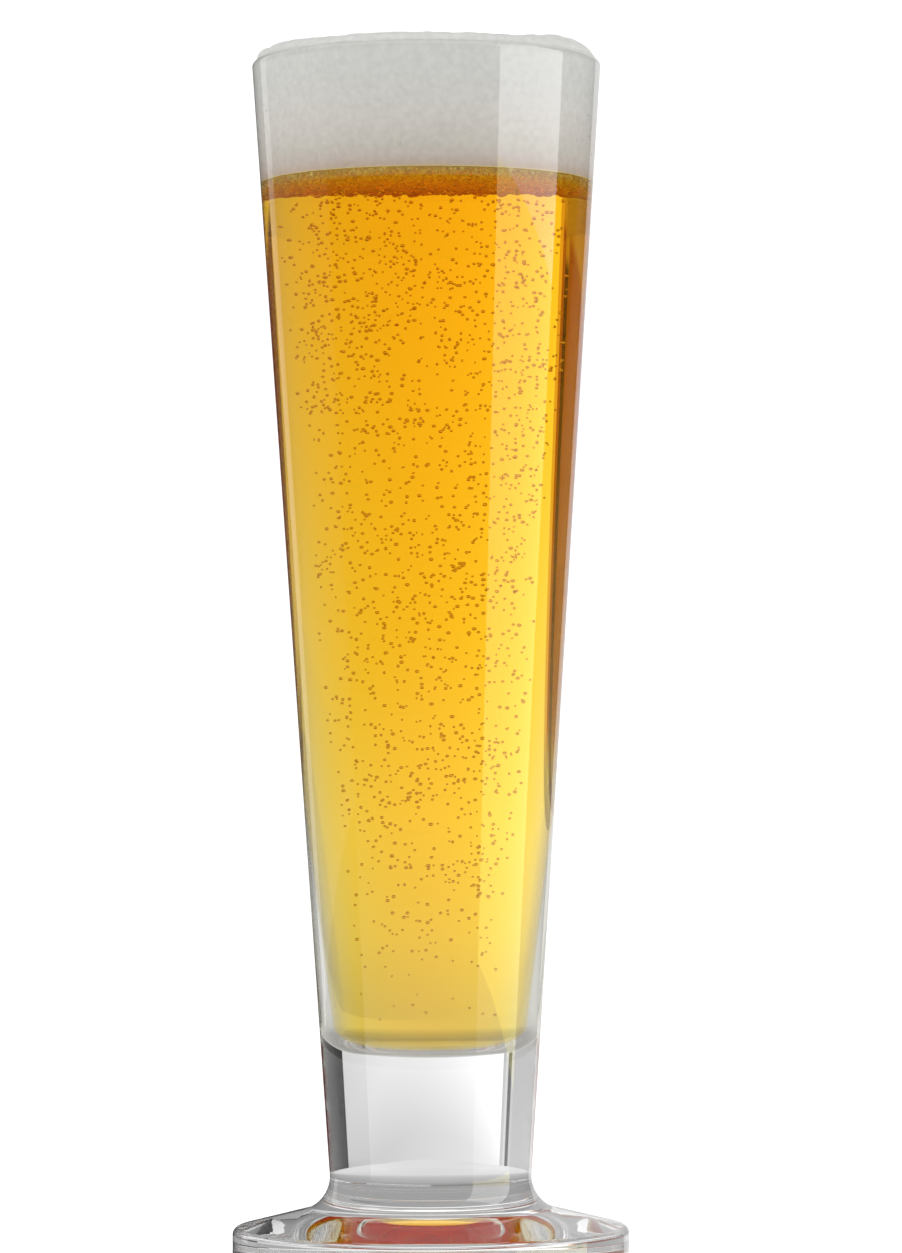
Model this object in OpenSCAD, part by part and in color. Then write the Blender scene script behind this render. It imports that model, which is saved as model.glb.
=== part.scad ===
// A pint of lager in a tall footed pilsner glass, with its head of foam.
// The glass stands on the XY plane and its axis is the Z axis.

/* [Glass] */
// Height of the rim above the table
glass_height = 266; // [230:1:320]
// Outside diameter at the rim
rim_d = 77.4; // [64:0.2:94]
// Outside diameter of the stem, where it would meet the foot without its fillet
stem_d = 43.8; // [38:0.2:54]
// Thickness of the wall at the rim
rim_wall = 2.3; // [1.6:0.1:3.2]

/* [Inside] */
// Height of the inside floor above the table, at its middle
floor_z = 46.6; // [36:0.2:60]
// Inside diameter at the floor, without its rounded corner
floor_d = 31.2; // [25:0.2:36]
// Radius of the corner between the inside floor and the wall
floor_corner_r = 6; // [3:0.5:9]
// Radius to which the inside floor is dished
floor_dish_r = 75; // [40:1:150]

/* [Foot] */
// Diameter of the foot
foot_d = 87.6; // [72:0.2:106]
// Height of the top of the foot at its edge
foot_edge_h = 7.9; // [6:0.1:10]
// Angle at which the top of the foot rises towards the stem
foot_slope = 14; // [8:1:20]
// Radius of the fillet between the stem and the foot
stem_fillet_r = 7.5; // [4:0.5:9]
// Radius of the rounded upper edge of the foot
foot_edge_r = 1.6; // [0.8:0.1:2.2]
// Width of the flat ring under the foot, round a shallow hollow
foot_ring_w = 9; // [5:0.5:14]
// Depth of the shallow hollow under the foot
punt_depth = 0.9; // [0.4:0.1:1.6]

/* [Drink] */
// Depth of the foam inside the glass, from the rim down to the beer
foam_depth = 26.6; // [10:0.2:50]
// Height of the foam above the rim, in the middle
foam_rise = 3.8; // [3:0.2:10]
// Height of the foam's rolled edge over the rim
foam_roll_h = 1.8; // [1:0.1:2.6]
// Width of the foam's rolled edge
foam_roll_w = 1.9; // [1.2:0.1:4]
// How far in from the outside of the rim the foam ends
foam_edge_in = 1; // [0.6:0.1:1.4]
// Height of the tallest lump on the foam
foam_lump = 1.5; // [0:0.1:2]

/* [Hidden] */
$fn = 96;

// The corner that the stem's line makes with the line of the foot's top
stem_corner = [stem_d / 2, foot_edge_h + (foot_d - stem_d) / 2 * tan(foot_slope)];
// How fast the outer and inner walls lean out, per unit of height
outer_slope = (rim_d - stem_d) / 2 / (glass_height - stem_corner[1]);
inner_slope = (rim_d / 2 - rim_wall - floor_d / 2) / (glass_height - floor_z);
outer_lean = norm([1, outer_slope]);
inner_lean = norm([1, inner_slope]);
// The round of the rim touches both walls and the rim's plane
rim_r = rim_wall / (outer_lean + inner_lean + outer_slope - inner_slope);
rim_centre = [rim_d / 2 - outer_slope * rim_r - rim_r * outer_lean, glass_height - rim_r];
rim_outer = rim_centre + rim_r / outer_lean * [1, -outer_slope];
rim_inner = rim_centre + rim_r / inner_lean * [-1, inner_slope];
beer_z = glass_height - foam_depth;
punt_d = foot_d - 2 * foot_ring_w;

// The foam's facets: sides round it, rings over its rolled edge and over its top
foam_sides = 72;
roll_rings = 5;
dome_rings = 9;
foam_r = rim_d / 2 - foam_edge_in;
// Each lump: direction in degrees, distance out as a share, and height as a share
lumps = [[-38, 0.86, 1], [-100, 0.8, 0.2], [-150, 0.85, 0.4], [150, 0.9, 0.5], [88, 0.8, 0.6], [32, 0.85, 0.5]];
// How wide each lump is, in degrees round the foam and as a share of its radius
lump_turn = 17;
lump_reach = 0.17;

// Inside radius of the glass at a height
function cavity_r(z) = floor_d / 2 + inner_slope * (z - floor_z);

// Centre of the round that touches both the dished floor and the inner wall
function corner_centre() =
    let (
        inset = floor_d / 2 - floor_corner_r * inner_lean,
        reach = floor_dish_r - floor_corner_r,
        b = floor_dish_r - inset * inner_slope,
        c = inset * inset + floor_dish_r * floor_dish_r - reach * reach,
        up = (b - sqrt(b * b - inner_lean * inner_lean * c)) / (inner_lean * inner_lean)
    )
    [inset + inner_slope * up, floor_z + up];

// The inside of the glass up to a height, as half a section
module cavity_section(top_z) {
    centre = corner_centre();
    dish_centre = [0, floor_z + floor_dish_r];
    dish_end = dish_centre + (centre - dish_centre) * floor_dish_r / (floor_dish_r - floor_corner_r);
    wall_start = centre + floor_corner_r / inner_lean * [1, -inner_slope];
    polygon([[0, wall_start[1]], wall_start, [cavity_r(top_z), top_z], [0, top_z]]);
    translate(centre) circle(r = floor_corner_r);
    intersection() {
        translate(dish_centre) circle(r = floor_dish_r, $fn = 720);
        translate([0, floor_z - 1]) square([dish_end[0], centre[1] - floor_z + 1]);
    }
}

// Half a section of the outside: foot, stem and wall as one outline with the centres of its rounds
// as corners. The foot's edge and the rim are filled out by circles, and one hollows the fillet.
module outside_section() {
    foot_r = foot_d / 2;
    edge_run = foot_edge_r / tan((90 + foot_slope) / 2);
    edge_centre = [foot_r - foot_edge_r, foot_edge_h - edge_run];
    edge_top = [foot_r - edge_run * cos(foot_slope), foot_edge_h + edge_run * sin(foot_slope)];
    stem_angle = atan(outer_slope);
    fillet_run = stem_fillet_r / tan((90 - stem_angle + foot_slope) / 2);
    on_foot = stem_corner + fillet_run * [cos(foot_slope), -sin(foot_slope)];
    on_stem = stem_corner + fillet_run * [sin(stem_angle), cos(stem_angle)];
    fillet_centre = on_stem + stem_fillet_r * [cos(stem_angle), -sin(stem_angle)];
    difference() {
        polygon([
            [0, 0], [foot_r, 0], [foot_r, edge_centre[1]], edge_centre, edge_top,
            on_foot, fillet_centre, on_stem,
            rim_outer, rim_centre, rim_inner, [0, rim_inner[1]]
        ]);
        translate(fillet_centre) circle(r = stem_fillet_r);
    }
    translate(edge_centre) circle(r = foot_edge_r);
    translate(rim_centre) circle(r = rim_r);
}

// The glass: one solid of revolution with a rounded rim and a shallow hollow underneath
module glass() {
    color([0.85, 0.9, 0.9, 0.4])
        rotate_extrude()
            difference() {
                outside_section();
                cavity_section(rim_inner[1]);
                polygon([[0, -1], [punt_d / 2, -1], [punt_d / 2, 0], [0, punt_depth]]);
            }
}

// The beer: it fills the inside, face to face with the glass, up to the foam
module beer() {
    color([0.95, 0.65, 0.1])
        rotate_extrude()
            cavity_section(beer_z);
}

// An angle brought within half a turn of zero
function turn(a) = a - 360 * round(a / 360);

// Height of one lump at a share of the foam's radius and a direction
function lump_z(l, share, a) =
    foam_lump * l[2] * exp(-pow(turn(a - l[0]) / lump_turn, 2) - pow((share - l[1]) / lump_reach, 2));

// The lumps together, fading out at the foam's edge and in its middle
function lumps_z(r, a) =
    let (share = r / foam_r)
    min(1, (foam_r - r) / foam_roll_w) * [for (l = lumps) lump_z(l, share, a)] * [for (l = lumps) 1];

// A ring of points round the axis, with the lumps added
function ring(r, z) = [for (k = [0 : foam_sides - 1])
    let (a = 360 * k / foam_sides)
    [r * cos(a), r * sin(a), z + (z > glass_height ? lumps_z(r, a) : 0)]];

// The foam: a plug in the glass, and a slightly lumpy dome that swells just over the rim
module foam() {
    dome_r = foam_r - foam_roll_w;
    layers = concat(
        [
            ring(cavity_r(beer_z), beer_z),
            ring(cavity_r(glass_height), glass_height),
            ring(foam_r, glass_height)
        ],
        [for (i = [1 : roll_rings]) let (t = 90 * i / roll_rings)
            ring(dome_r + foam_roll_w * cos(t), glass_height + foam_roll_h * sin(t))],
        [for (i = [1 : dome_rings - 1]) let (s = 1 - i / dome_rings)
            ring(dome_r * s, glass_height + foam_roll_h + (foam_rise - foam_roll_h) * (1 - s * s))]
    );
    ends = [[0, 0, beer_z], [0, 0, glass_height + foam_rise]];
    n = foam_sides;
    last = len(layers) - 1;
    foot_point = len(layers) * n;
    faces = concat(
        [for (j = [0 : last - 1], k = [0 : n - 1]) each [
            [j * n + k, (j + 1) * n + k, (j + 1) * n + (k + 1) % n],
            [j * n + k, (j + 1) * n + (k + 1) % n, j * n + (k + 1) % n]
        ]],
        [for (k = [0 : n - 1]) [foot_point, k, (k + 1) % n]],
        [for (k = [0 : n - 1]) [foot_point + 1, last * n + (k + 1) % n, last * n + k]]
    );
    color([0.94, 0.92, 0.87])
        polyhedron(points = concat([for (l = layers) each l], ends), faces = faces, convexity = 4);
}

glass();
beer();
foam();
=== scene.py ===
import math
import random

import bmesh
import bpy
from mathutils import Matrix, Vector, kdtree, noise


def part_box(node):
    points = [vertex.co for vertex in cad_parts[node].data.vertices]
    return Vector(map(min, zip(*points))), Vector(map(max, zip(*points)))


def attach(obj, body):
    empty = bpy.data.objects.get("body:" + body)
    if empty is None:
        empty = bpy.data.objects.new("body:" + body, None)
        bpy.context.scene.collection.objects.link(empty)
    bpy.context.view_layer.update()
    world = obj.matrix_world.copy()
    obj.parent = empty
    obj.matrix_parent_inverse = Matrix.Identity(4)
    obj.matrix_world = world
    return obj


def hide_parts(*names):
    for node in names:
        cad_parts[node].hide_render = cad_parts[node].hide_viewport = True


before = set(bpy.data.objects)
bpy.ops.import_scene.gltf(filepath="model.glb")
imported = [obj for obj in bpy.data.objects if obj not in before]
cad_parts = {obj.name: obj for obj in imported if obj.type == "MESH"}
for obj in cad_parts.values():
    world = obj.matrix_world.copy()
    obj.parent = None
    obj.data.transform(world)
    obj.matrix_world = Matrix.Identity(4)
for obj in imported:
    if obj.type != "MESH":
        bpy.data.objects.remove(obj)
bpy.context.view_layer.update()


# ---- The glass ----
# A footed pilsner glass: one piece of clear soda-lime glass, pressed in a mould and fire
# polished. A straight cone stands on a thick solid base, which flares into a wide round foot.

mm = 0.001
glass_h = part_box("glass")[1].z
foot_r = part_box("glass")[1].x
foot_edge_h = 7.9 * mm
foot_edge_round = 1.6 * mm
foot_rest_round = 0.6 * mm
foot_ring_w = 9 * mm
foot_hollow = 0.9 * mm
foot_slope = math.radians(14)
stem_r = 21.9 * mm
stem_start_z = foot_edge_h + (foot_r - stem_r) * math.tan(foot_slope)
stem_fillet = 7.5 * mm
rim_r = 38.7 * mm
rim_wall = 2.3 * mm
rim_round = 1.15 * mm
floor_z = 46.6 * mm
floor_r = 15.6 * mm
floor_round = 6 * mm
floor_flat_r = 5 * mm
floor_rise = 1.25 * mm
floor_dish = 75 * mm
beer_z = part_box("beer")[1].z
wall_lean = (rim_r - rim_wall - floor_r) / (glass_h - floor_z)


def cavity_r(z):
    """Inside radius of the glass at a height."""
    return floor_r + wall_lean * (z - floor_z)


def corner_reach(corner, before, after, radius):
    """How far back along both edges a round of this radius starts."""
    opening = (before - corner).angle(after - corner)
    return radius / math.tan(opening / 2)


def turned(outline, longest=4 * mm, steps=192, round_steps=12, weld=0.002 * mm):
    """Turns an outline of (radius, height, round) corners round the axis into a closed body."""
    bm = bmesh.new()
    corners = [bm.verts.new((r, 0, z)) for r, z, _ in outline]
    for a, b in zip(corners, corners[1:]):
        bm.edges.new((a, b))
    reaches = [
        corner_reach(corners[i].co, corners[i - 1].co, corners[i + 1].co, outline[i][2])
        if outline[i][2] else 0
        for i in range(1, len(outline) - 1)
    ]
    for corner, reach in zip(corners[1:-1], reaches):
        if reach:
            bmesh.ops.bevel(
                bm, geom=[corner], offset=reach, offset_type="OFFSET", affect="VERTICES",
                segments=round_steps, profile=0.5, material=-1,
            )
    for edge in list(bm.edges):
        cuts = int(edge.calc_length() / longest)
        if cuts:
            bmesh.ops.subdivide_edges(bm, edges=[edge], cuts=cuts)
    bmesh.ops.spin(
        bm, geom=bm.verts[:] + bm.edges[:], cent=(0, 0, 0), axis=(0, 0, 1),
        angle=math.tau, steps=steps, use_merge=True, use_duplicate=False,
    )
    bmesh.ops.remove_doubles(bm, verts=bm.verts[:], dist=weld)
    bmesh.ops.recalc_face_normals(bm, faces=bm.faces[:])
    return bm


def finished(name, bm, sharp=math.radians(35)):
    """Makes an object of a bmesh, shaded smooth except over its sharp edges."""
    for face in bm.faces:
        face.smooth = True
    for edge in bm.edges:
        edge.smooth = len(edge.link_faces) == 2 and edge.calc_face_angle(0) < sharp
    mesh = bpy.data.meshes.new(name)
    bm.to_mesh(mesh)
    bm.free()
    piece = bpy.data.objects.new(name, mesh)
    bpy.context.scene.collection.objects.link(piece)
    return piece


def new_material(name):
    """A node material, with its tree, its Principled shader and its output."""
    made = bpy.data.materials.new(name)
    made.use_nodes = True
    tree = made.node_tree
    return made, tree, tree.nodes["Principled BSDF"], tree.nodes["Material Output"]


def noise_bump(tree, shader, scale, strength, distance, stretch=(1, 1, 1)):
    """Fine unevenness of a surface, in Object coordinates."""
    place = tree.nodes.new("ShaderNodeTexCoord")
    turn = tree.nodes.new("ShaderNodeMapping")
    turn.inputs["Scale"].default_value = stretch
    grain = tree.nodes.new("ShaderNodeTexNoise")
    grain.inputs["Scale"].default_value = scale
    grain.inputs["Detail"].default_value = 2.0
    bump = tree.nodes.new("ShaderNodeBump")
    bump.inputs["Strength"].default_value = strength
    bump.inputs["Distance"].default_value = distance
    tree.links.new(place.outputs["Object"], turn.inputs["Vector"])
    tree.links.new(turn.outputs["Vector"], grain.inputs["Vector"])
    tree.links.new(grain.outputs["Fac"], bump.inputs["Height"])
    tree.links.new(bump.outputs["Normal"], shader.inputs["Normal"])


def clear_material(name, colour, bending, specular_tint):
    """Something clear that light passes through, bent by its index."""
    made, tree, shader, output = new_material(name)
    shader.inputs["Base Color"].default_value = (*colour, 1)
    shader.inputs["Roughness"].default_value = 0.0
    shader.inputs["IOR"].default_value = bending
    shader.inputs["Transmission Weight"].default_value = 1.0
    shader.inputs["Specular Tint"].default_value = (*specular_tint, 1)
    return made, tree, shader, output


def glass_material(name, specular_tint):
    """Clear glass with the faint waviness that the mould leaves."""
    made, tree, shader, _ = clear_material(name, (1, 1, 1), 1.52, specular_tint)
    noise_bump(tree, shader, scale=30, strength=0.12, distance=0.02 * mm, stretch=(1, 1, 0.35))
    return made


glass = finished("glass_body", turned([
    (0, foot_hollow, 0),
    (foot_r - foot_ring_w, 0, foot_rest_round),
    (foot_r, 0, foot_rest_round),
    (foot_r, foot_edge_h, foot_edge_round),
    (stem_r, stem_start_z, stem_fillet),
    (rim_r, glass_h, rim_round),
    (rim_r - rim_wall, glass_h, rim_round),
    (floor_r, floor_z + floor_rise, floor_round),
    (floor_flat_r, floor_z, floor_dish),
    (0, floor_z, 0),
]))
glass.data.materials.append(glass_material("clear_glass", (1, 1, 1)))
glass.data.materials.append(glass_material("wetted_glass", (0, 0, 0)))
wetted = 1
for face in glass.data.polygons:
    middle = face.center
    inside = math.hypot(middle.x, middle.y) < cavity_r(middle.z) + rim_wall / 4
    if inside and floor_z - mm < middle.z < beer_z:
        face.material_index = wetted
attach(glass, "root")
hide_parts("glass")


# ---- The beer ----
# Golden lager, clear, with its gas coming out in fine bubbles. It fills the glass up to the
# foam, and reaches just into the wall so that no air shows between them.

into_wall = 0.3 * mm

beer = finished("beer_body", turned([
    (0, floor_z - into_wall, 0),
    (floor_flat_r, floor_z - into_wall, floor_dish),
    (floor_r + into_wall, floor_z + floor_rise - into_wall, floor_round + into_wall),
    (cavity_r(beer_z) + into_wall, beer_z, 0),
    (0, beer_z, 0),
]))


def lager_material():
    """Clear liquid that takes out the blue, and a little of the green, with depth."""
    made, tree, shader, output = clear_material("lager", (1, 1, 1), 1.34, (0, 0, 0))
    noise_bump(tree, shader, scale=45, strength=0.1, distance=0.02 * mm, stretch=(1, 1, 0.5))
    depth = tree.nodes.new("ShaderNodeVolumeAbsorption")
    depth.inputs["Color"].default_value = (0.994, 0.853, 0.0, 1)
    depth.inputs["Density"].default_value = 90
    tree.links.new(depth.outputs["Volume"], output.inputs["Volume"])
    return made


beer.data.materials.append(lager_material())
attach(beer, "root")
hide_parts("beer")


# ---- The bubbles ----
# The gas of the beer: fine round bubbles that rise through it, some in loose clouds. They are
# thickest near the top, fewer near the floor, and spread further out at the front.

bubble_count = 2450
bubble_small = 0.2 * mm
bubble_large = 0.38 * mm
bubble_reach = 0.71
bubble_front_reach = 0.16
bubble_rise = 0.56
bubble_outward = 0.36
bubble_start = 4 * mm
bubble_lowest = 2 * mm
bubble_top_gap = 1.5 * mm
cloud_count = 130
cloud_share = 0.4
cloud_spread = 3 * mm
cloud_slack = 0.03
batch_size = 50
ball_sharp = math.radians(80)
dice = random.Random(7)


def reach_at(turn):
    """How far out the bubbles spread in a direction, as a share of the inside radius."""
    return bubble_reach + bubble_front_reach * max(0, -math.sin(turn))


def place_in_beer():
    """A place in the beer, thinning out towards the floor."""
    low = floor_z + bubble_start
    z = low + (beer_z - bubble_top_gap - low) * dice.random() ** bubble_rise
    turn = math.tau * dice.random()
    out = reach_at(turn) * cavity_r(z) * dice.random() ** bubble_outward
    return Vector((out * math.cos(turn), out * math.sin(turn), z))


def bubble_place():
    """A place on its own or in one of the clouds, kept in the beer and clear of the wall."""
    place = place_in_beer()
    if dice.random() < cloud_share:
        place = dice.choice(clouds) + Vector([dice.gauss(0, cloud_spread) for _ in range(3)])
    place.z = min(max(place.z, floor_z + bubble_lowest), beer_z - bubble_top_gap)
    reach = reach_at(math.atan2(place.y, place.x)) + cloud_slack
    shrink = min(1, reach * cavity_r(place.z) / math.hypot(place.x, place.y))
    return Vector((place.x * shrink, place.y * shrink, place.z))


def ball_size(small, large, few_large):
    """A radius between two sizes, with the large ones rarer the higher the last number is."""
    return small + (large - small) * dice.random() ** few_large


def next_bubble():
    """The radius and place of one bubble."""
    return ball_size(bubble_small, bubble_large, 1.4), bubble_place()


def balls(name, count, next_ball):
    """Joins many small closed balls into one piece, a batch at a time."""
    joined = bmesh.new()
    batch_mesh = bpy.data.meshes.new("ball_batch")
    for _ in range(count // batch_size):
        batch = bmesh.new()
        for _ in range(batch_size):
            size, spot = next_ball()
            bmesh.ops.create_icosphere(
                batch, subdivisions=2, radius=size, matrix=Matrix.Translation(spot),
            )
        batch.to_mesh(batch_mesh)
        batch.free()
        joined.from_mesh(batch_mesh)
    bpy.data.meshes.remove(batch_mesh)
    return finished(name, joined, ball_sharp)


clouds = [place_in_beer() for _ in range(cloud_count)]
bubble_piece = balls("gas_bubbles", bubble_count, next_bubble)


def bubble_material():
    """A clear ball, darker than the beer: partly because its edge turns the light away, and partly from
    its amber tint, which is painted shade.
    """
    # The amber tint of the ball is painted shade; the gas itself has no colour
    made, tree, shader, _ = clear_material("gas_bubble", (0.9, 0.68, 0.42), 1.28, (0, 0, 0))
    noise_bump(tree, shader, scale=3000, strength=0.2, distance=0.01 * mm)
    return made


bubble_piece.data.materials.append(bubble_material())
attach(bubble_piece, "root")


# ---- The foam ----
# The head: a thick creamy foam that fills the glass above the beer and swells just over the
# rim, with a rolled edge and a few soft lumps. Small cells dimple its side and its underside.

foam_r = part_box("foam")[1].x
foam_rise = 3.8 * mm
foam_roll_h = 1.8 * mm
foam_roll_w = 1.9 * mm
foam_roll_round = foam_roll_h * 0.9
foam_over_rim = 0.1 * mm
foam_lump = 1.5 * mm
foam_dip = 0.15 * mm
foam_cell = 0.9 * mm
foam_cell_depth = 0.55 * mm
foam_cell_wall = 1.5
foam_cell_fade = 1 * mm
underside_z = beer_z - 0.1 * mm
side_top_z = glass_h - rim_round
top_start_z = glass_h + 0.3 * mm
# Each lump: direction in degrees, distance out as a share, and height as a share
lumps = [
    (-31, 0.86, 1), (-100, 0.8, 0.2), (-150, 0.85, 0.4),
    (150, 0.9, 0.5), (88, 0.8, 0.6), (32, 0.85, 0.5),
]
lump_turn = math.radians(17)
lump_reach = 0.17
# Each ripple over the top: its height, and the length it repeats over
ripples = [(0.35 * mm, 4 * mm), (0.16 * mm, 1.4 * mm)]
wander = 0.6 * mm
wander_length = 5 * mm

foam_mesh = turned([
    (0, beer_z - foam_dip, 0),
    (cavity_r(beer_z) + into_wall, beer_z - foam_dip, 0),
    (cavity_r(side_top_z) + into_wall, side_top_z, 0),
    (foam_r, glass_h + foam_over_rim, 0),
    (foam_r, glass_h + foam_roll_h, foam_roll_round),
    (0, glass_h + foam_rise, 0),
], longest=0.55 * mm, steps=360)


def lump_height(place):
    """How far the soft lumps raise the top of the foam at a place."""
    out = math.hypot(place.x, place.y)
    fade = min(1, (foam_r - out) / foam_roll_w)
    total = 0
    for direction, share, height in lumps:
        turn = math.remainder(math.atan2(place.y, place.x) - math.radians(direction), math.tau)
        total += height * math.exp(-(turn / lump_turn) ** 2 - ((out / foam_r - share) / lump_reach) ** 2)
    return foam_lump * fade * total


dimple_count = 260
dimple_depth = 0.45 * mm
dimple_small = 0.35 * mm
dimple_large = 0.65 * mm
dimple_lowest = 0.05
dimple_range = 0.85
dimples = []
for _ in range(dimple_count):
    turn = math.tau * dice.random()
    z = beer_z + (glass_h - beer_z) * (dimple_lowest + dimple_range * dice.random())
    r = cavity_r(z) + into_wall
    spot = Vector((r * math.cos(turn), r * math.sin(turn), z))
    dimples.append((spot, ball_size(dimple_small, dimple_large, 1)))
near = kdtree.KDTree(dimple_count)
for number, (spot, _) in enumerate(dimples):
    near.insert(spot, number)
near.balance()

for corner in foam_mesh.verts:
    place = corner.co
    if place.z > top_start_z:
        ripple = sum(height * noise.noise(place / length) for height, length in ripples)
        place.z += lump_height(place) + ripple
        spread = 1 + wander * noise.noise(place / wander_length) / foam_r
        place.x *= spread
        place.y *= spread
    elif place.z < underside_z:
        nearest = noise.voronoi(place / foam_cell)[0][0]
        from_wall = cavity_r(beer_z) + into_wall - math.hypot(place.x, place.y)
        edge = min(1, from_wall / foam_cell_fade)
        place.z -= foam_cell_depth * max(0, 1 - foam_cell_wall * nearest) * max(0, edge)
    elif place.z < side_top_z:
        spot, number, away = near.find(place)
        size = dimples[number][1]
        if away < size:
            sunk = 1 - dimple_depth * (1 - (away / size) ** 2) / math.hypot(place.x, place.y)
            place.x *= sunk
            place.y *= sunk
foam = finished("foam_head", foam_mesh, ball_sharp)


def run_of_colours(tree, value, low, high, stops):
    """Colours along a value, from stops of (share of the way from low to high, colour)."""
    share = tree.nodes.new("ShaderNodeMapRange")
    share.inputs["From Min"].default_value = low
    share.inputs["From Max"].default_value = high
    run = tree.nodes.new("ShaderNodeValToRGB")
    elements = run.color_ramp.elements
    while len(elements) < len(stops):
        elements.new(0.5)
    for element, (at, colour) in zip(elements, stops):
        element.position = at
        element.color = (*colour, 1)
    tree.links.new(value, share.inputs["Value"])
    tree.links.new(share.outputs["Result"], run.inputs["Fac"])
    return run.outputs["Color"]


def foam_material():
    """Matt foam with its fine cells. Its colour runs with height: an amber underside that is painted
    light from the beer below, then a warm grey that is partly wet foam and partly painted amber light
    and shade, up to creamy white above.
    """
    made, tree, shader, _ = new_material("beer_foam")
    place = tree.nodes.new("ShaderNodeTexCoord")
    split = tree.nodes.new("ShaderNodeSeparateXYZ")
    # Colour by height: the amber bottom stop is painted light from the beer; the darker warm grey above
    # it is partly wet foam, partly painted shade and amber light
    foam_tone_and_painted_light = run_of_colours(tree, split.outputs["Z"], underside_z, beer_z + 20 * mm, [
        (0.0, (1.0, 0.8, 0.2)),
        (0.005, (0.7, 0.57, 0.45)),
        (0.12, (0.77, 0.7, 0.64)),
        (0.25, (0.8, 0.775, 0.705)),
        (0.47, (0.85, 0.82, 0.775)),
        (0.7, (0.865, 0.85, 0.81)),
        (1.0, (0.85, 0.855, 0.825)),
    ])
    mottle = tree.nodes.new("ShaderNodeTexNoise")
    mottle.inputs["Scale"].default_value = 700
    mottle.inputs["Detail"].default_value = 3
    shade = tree.nodes.new("ShaderNodeMapRange")
    shade.inputs["From Min"].default_value = 0.3
    shade.inputs["From Max"].default_value = 0.7
    shade.inputs["To Min"].default_value = 0.94
    shade.inputs["To Max"].default_value = 1.04
    mixed = tree.nodes.new("ShaderNodeVectorMath")
    mixed.operation = "SCALE"
    tree.links.new(place.outputs["Object"], split.inputs["Vector"])
    tree.links.new(place.outputs["Object"], mottle.inputs["Vector"])
    tree.links.new(mottle.outputs["Fac"], shade.inputs["Value"])
    tree.links.new(foam_tone_and_painted_light, mixed.inputs[0])
    tree.links.new(shade.outputs["Result"], mixed.inputs["Scale"])
    tree.links.new(mixed.outputs["Vector"], shader.inputs["Base Color"])
    shader.inputs["Roughness"].default_value = 0.65
    shader.inputs["Specular IOR Level"].default_value = 0.2
    noise_bump(tree, shader, scale=1500, strength=0.4, distance=0.12 * mm, stretch=(1, 1, 0.3))
    return made


foam_look = foam_material()
foam.data.materials.append(foam_look)
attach(foam, "root")
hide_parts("foam")


# ---- The grains under the foam ----
# Coarse wet bubbles of the foam that hang from its underside into the beer, and make the
# grainy line between the two. Each is a small ball that stands mostly in the foam.

grain_count = 1500
grain_small = 0.25 * mm
grain_large = 0.6 * mm
grain_wall_gap = 0.2 * mm
grain_hang = 0.6


def next_grain():
    """The radius and place of one grain."""
    size = ball_size(grain_small, grain_large, 1.6)
    out = (cavity_r(beer_z) - size - grain_wall_gap) * math.sqrt(dice.random())
    turn = math.tau * dice.random()
    z = beer_z - foam_dip - size * grain_hang
    return size, Vector((out * math.cos(turn), out * math.sin(turn), z))


grain_piece = balls("foam_grains", grain_count, next_grain)
# The grains take the foam's colour, so their amber is painted light from the beer below
grain_piece.data.materials.append(foam_look)
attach(grain_piece, "root")


# ---- The studio ----
# A pale floor in a white surround. Of the cards round the glass, one set shows only in its
# reflections, and the other only through it, where it also lights the foam. A disc overhead
# lights what is matt and in the open.

table_r = 8
table_drop = 0.1 * mm
over_r = 1.2
over_h = 2.5
card_distance = 2.2
spill_low = -0.5


def disc(name, radius, height):
    """A flat round sheet at a height."""
    bm = bmesh.new()
    bmesh.ops.create_circle(bm, cap_ends=True, segments=64, radius=radius)
    bmesh.ops.translate(bm, verts=bm.verts[:], vec=(0, 0, height))
    return finished(name, bm)


def by_ray(tree, kind, seen, lighting):
    """One value for what the eye sees, and another for the light that falls on matt surfaces."""
    path = tree.nodes.new("ShaderNodeLightPath")
    value = tree.nodes.new("ShaderNodeMapRange")
    value.inputs["To Min"].default_value = seen
    value.inputs["To Max"].default_value = lighting
    tree.links.new(path.outputs[kind], value.inputs["Value"])
    return value.outputs["Result"]


def product(tree, one, other):
    """One value times another."""
    times = tree.nodes.new("ShaderNodeMath")
    times.operation = "MULTIPLY"
    tree.links.new(one, times.inputs[0])
    tree.links.new(other, times.inputs[1])
    return times.outputs["Value"]


def greys(stops):
    """Stops of grey, from stops of (share, level)."""
    return [(at, (level, level, level)) for at, level in stops]


floor = disc("floor", table_r, 0)
floor_look, _, floor_shader, _ = new_material("pale_floor")
floor_shader.inputs["Base Color"].default_value = (0.92, 0.92, 0.92, 1)
floor_shader.inputs["Roughness"].default_value = 0.8
floor_shader.inputs["Specular IOR Level"].default_value = 0.0
floor_shader.inputs["Emission Color"].default_value = (1, 1, 1, 1)
floor_shader.inputs["Emission Strength"].default_value = 0.6
floor_look.cycles.emission_sampling = "NONE"
floor.data.materials.append(floor_look)
floor.visible_glossy = False
floor.visible_transmission = False

world = bpy.data.worlds.new("white_surround")
bpy.context.scene.world = world
world.use_nodes = True
sky = world.node_tree
sky_plain = by_ray(sky, "Is Diffuse Ray", 1.15, 1.24)
sky_light = product(sky, sky_plain, by_ray(sky, "Diffuse Depth", 1.0, 0.43))
sky.links.new(sky_light, sky.nodes["Background"].inputs["Strength"])
sky.nodes["Background"].inputs["Color"].default_value = (1, 1, 1, 1)


def glow_material(name):
    """Plain light of its own, that no lamp sampling looks for."""
    look = bpy.data.materials.new(name)
    look.use_nodes = True
    tree = look.node_tree
    tree.nodes.remove(tree.nodes["Principled BSDF"])
    glow = tree.nodes.new("ShaderNodeEmission")
    tree.links.new(glow.outputs["Emission"], tree.nodes["Material Output"].inputs["Surface"])
    look.cycles.emission_sampling = "NONE"
    return look, tree, glow


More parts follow.
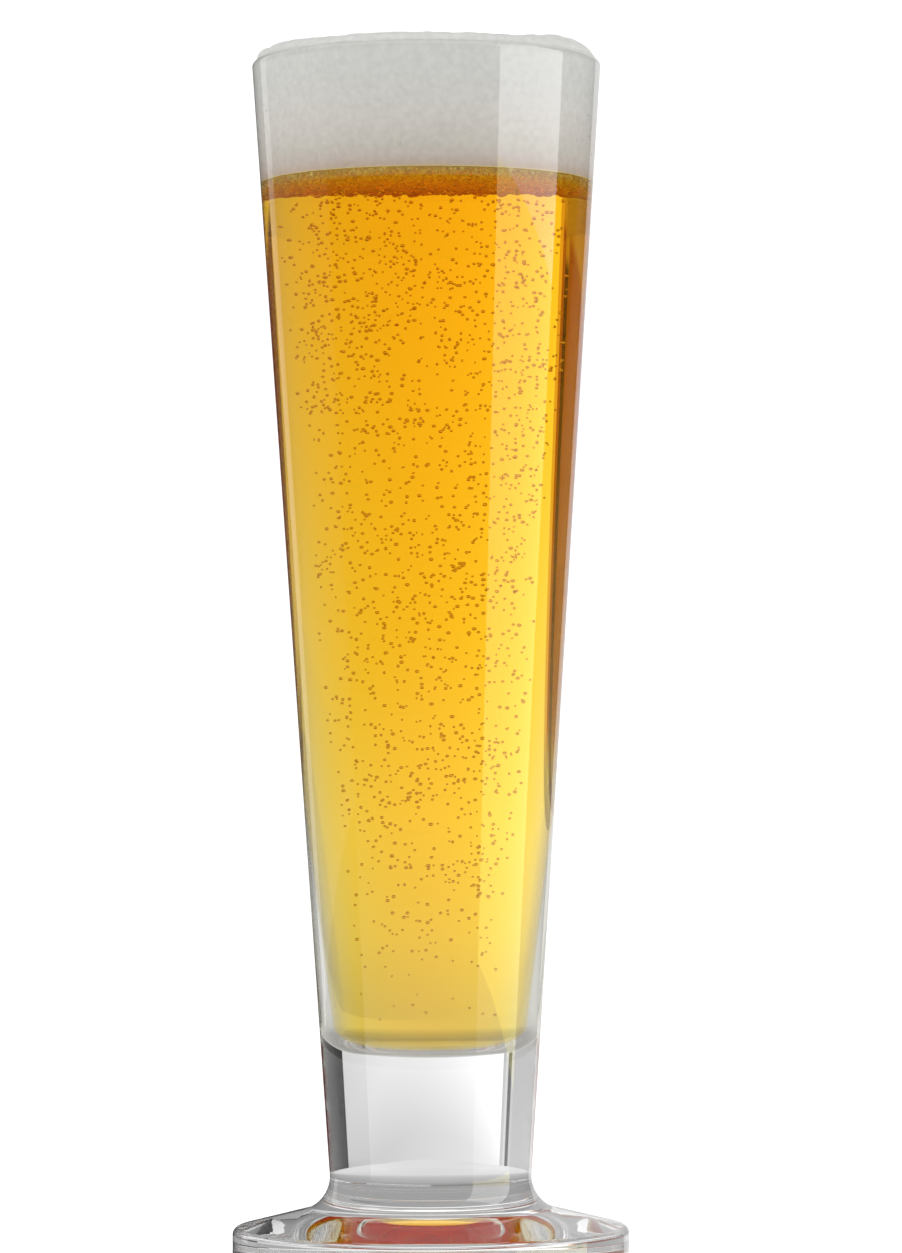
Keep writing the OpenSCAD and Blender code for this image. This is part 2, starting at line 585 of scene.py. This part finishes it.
def only_seen(piece, how):
    """Shows a piece only reflected, only through the glass, or only to matt surfaces."""
    piece.visible_camera = False
    piece.visible_shadow = False
    piece.visible_diffuse = how == "matt"
    piece.visible_glossy = how == "reflected"
    piece.visible_transmission = how == "through"


# Light that the table throws back on the reflected cards, from spill_low up to the table
table_spill = greys([
    (0.08, 0.03), (0.16, 0.15), (0.28, 1.0), (0.44, 0.5), (0.58, 0.25), (0.68, 0.15), (0.8, 0.0),
])


def card(name, how, start, end, light, light_end=None, bottom=0.0, top=2.6, tints=None,
         spill=1.6, on_foam=1.0):
    """A curved card standing round the glass from one angle to another, in degrees from behind
    the glass, to the right. Its light may change from its start to its end, and its colour with
    height. It is seen either only as reflected in the glass, or only through it."""
    bm = bmesh.new()
    first = math.radians(start)
    low = bm.verts.new((card_distance * math.sin(first), card_distance * math.cos(first), bottom))
    high = bm.verts.new(low.co + Vector((0, 0, top - bottom)))
    edge = bm.edges.new((low, high))
    bmesh.ops.spin(
        bm, geom=[low, high, edge], cent=(0, 0, 0), axis=(0, 0, 1),
        angle=-math.radians(end - start), steps=max(2, int((end - start) / 2)),
    )
    made = finished(name, bm)
    look, tree, glow = glow_material(name)
    place = tree.nodes.new("ShaderNodeTexCoord")
    split = tree.nodes.new("ShaderNodeSeparateXYZ")
    tree.links.new(place.outputs["Object"], split.inputs["Vector"])
    along = tree.nodes.new("ShaderNodeMapRange")
    along.inputs["From Min"].default_value = card_distance * math.sin(math.radians(start))
    along.inputs["From Max"].default_value = card_distance * math.sin(math.radians(end))
    along.inputs["To Min"].default_value = light
    along.inputs["To Max"].default_value = light if light_end is None else light_end
    tree.links.new(split.outputs["X"], along.inputs["Value"])
    if tints:
        tree.links.new(run_of_colours(tree, split.outputs["Z"], 0, 1, tints), glow.inputs["Color"])
    if how == "through":
        strength = product(tree, by_ray(tree, "Diffuse Depth", 1.0, on_foam), along.outputs["Result"])
    else:
        total = tree.nodes.new("ShaderNodeMath")
        total.operation = "MULTIPLY_ADD"
        total.inputs[1].default_value = spill
        shine = run_of_colours(tree, split.outputs["Z"], spill_low, 0, table_spill)
        tree.links.new(shine, total.inputs[0])
        tree.links.new(along.outputs["Result"], total.inputs[2])
        strength = total.outputs["Value"]
    tree.links.new(strength, glow.inputs["Strength"])
    made.data.materials.append(look)
    only_seen(made, how)


white = (1, 1, 1)
grey = (0.42, 0.42, 0.42)
black = (0.03, 0.03, 0.03)
brown = (0.26, 0.1, 0.07)
gold = (0.42, 0.32, 0.2)
amber = (0.74, 0.54, 0.4)
warm = (1.0, 0.95, 0.5)
# How the cards' colours change with height, in metres
low_dim = greys([(0.0, 0.7), (0.02, 0.7), (0.07, 0.88), (0.14, 1), (0.68, 1), (0.73, 0.3)])
low_grey = [(0.0, grey), (0.18, grey), (0.22, amber), (0.64, amber), (0.66, white)]
low_brown = [
    (0.0, grey), (0.18, grey), (0.22, brown), (0.555, brown), (0.565, gold), (0.65, gold),
    (0.67, white),
]
low_black = [(0.0, black), (0.535, black), (0.545, gold), (0.65, gold), (0.67, white)]
flag_black = [(0.0, black), (0.6, black), (0.62, white)]
lowest_black = [(0.0, black), (0.24, black), (0.3, white)]
all_warm = [(0.0, warm), (1.0, warm)]

card("back_card", "through", -31, 42, 1.22, 0.74, top=0.9, tints=low_dim)
card("back_canopy", "through", -40, 40, 0.42, bottom=0.9, top=4.5)
card("left_canopy", "through", -110, -40, 0.45, bottom=0.9, top=4.5, on_foam=5.0)
card("right_canopy", "through", 40, 115, 0.45, bottom=0.9, top=4.5, on_foam=5.0)
card("left_grey_edge", "through", -32.8, -31, 1.2, top=0.9, tints=low_grey)
card("left_brown_edge", "through", -34.5, -32.8, 1.5, top=0.9, tints=low_brown)
card("left_dark_gap", "through", -37, -34.5, 1.2, top=0.9, tints=low_black)
card("left_card", "through", -110, -37, 1.2, top=0.9, tints=low_brown)
card("right_edge", "through", 42, 50, 0.72, top=0.9, tints=lowest_black)
card("right_flag", "through", 50, 115, 1.2, top=0.9, tints=flag_black)
card("front_canopy", "through", 115, 250, 0.5, bottom=0.9, top=4.5, on_foam=1.6)
card("left_edge_gloss", "reflected", -38, 0, 0.03, bottom=-1.2, spill=0.1)
card("left_line_gloss", "reflected", -48, -38, 0.8, bottom=-0.16)
card("left_line_stem", "reflected", -48, -38, 0.05, bottom=-1.2, top=-0.16, spill=0.1)
card("left_gloss", "reflected", -108, -48, 0.22, bottom=-0.16)
card("left_stem", "reflected", -108, -48, 0.05, bottom=-1.2, top=-0.16, spill=0.1)
card("right_edge_gloss", "reflected", 0, 30, 0.7, bottom=-1.2)
card("right_dark_gloss", "reflected", 30, 79, 0.03, bottom=-1.2)
card("right_softbox", "reflected", 79, 131, 3.2, bottom=0.22)
card("right_softbox_low", "reflected", 79, 131, 3.0, bottom=-0.29, top=0.22, tints=all_warm)
card("right_softbox_stem", "reflected", 79, 131, 0.9, bottom=-1.2, top=-0.29)
card("front_gloss", "reflected", 131, 252, 0.06, bottom=-1.2)

# A glowing disc just under the floor, seen only through the glass, stands in for the floor there: its
# grey is painted shade, darkest under the glass and lighter further out, and it gives more light to matt
# surfaces
under = disc("table_through", table_r, -table_drop)
under_look, under_tree, under_glow = glow_material("table_through")
under_place = under_tree.nodes.new("ShaderNodeTexCoord")
under_away = under_tree.nodes.new("ShaderNodeVectorMath")
under_away.operation = "LENGTH"
under_tree.links.new(under_place.outputs["Object"], under_away.inputs[0])
through_floor_painted_shade = greys([(0.0, 0.34), (0.1, 0.38), (0.4, 0.62), (1.0, 0.74)])
under_run = run_of_colours(under_tree, under_away.outputs["Value"], 0, 1, through_floor_painted_shade)
under_tree.links.new(under_run, under_glow.inputs["Color"])
under_light = by_ray(under_tree, "Diffuse Depth", 1.0, 2.9)
under_tree.links.new(under_light, under_glow.inputs["Strength"])
under.data.materials.append(under_look)
only_seen(under, "through")

over = disc("over_light", over_r, over_h)
over_look, _, over_glow = glow_material("over_light")
over_glow.inputs["Strength"].default_value = 1.5
over.data.materials.append(over_look)
only_seen(over, "matt")

camera_data = bpy.data.cameras.new("camera")
camera = bpy.data.objects.new("camera", camera_data)
bpy.context.scene.collection.objects.link(camera)
eye_distance = 1.174
eye_height = 0.1155
eye_tilt = math.radians(1.227)
eye_turn = math.radians(0.238)
eye_roll = math.radians(0.233)
camera_data.sensor_fit = "VERTICAL"
camera_data.sensor_height = 36
camera_data.lens = 152.27
camera.rotation_mode = "XYZ"
camera.location = (0, -eye_distance, eye_height)
camera.rotation_euler = (math.radians(90) + eye_tilt, eye_roll, -eye_turn)
bpy.context.scene.camera = camera

scene = bpy.context.scene
scene.view_settings.view_transform = "Standard"
scene.view_settings.look = "None"
scene.cycles.use_denoising = True
scene.cycles.max_bounces = 64
scene.cycles.transmission_bounces = 64
scene.cycles.glossy_bounces = 64
scene.cycles.transparent_max_bounces = 16
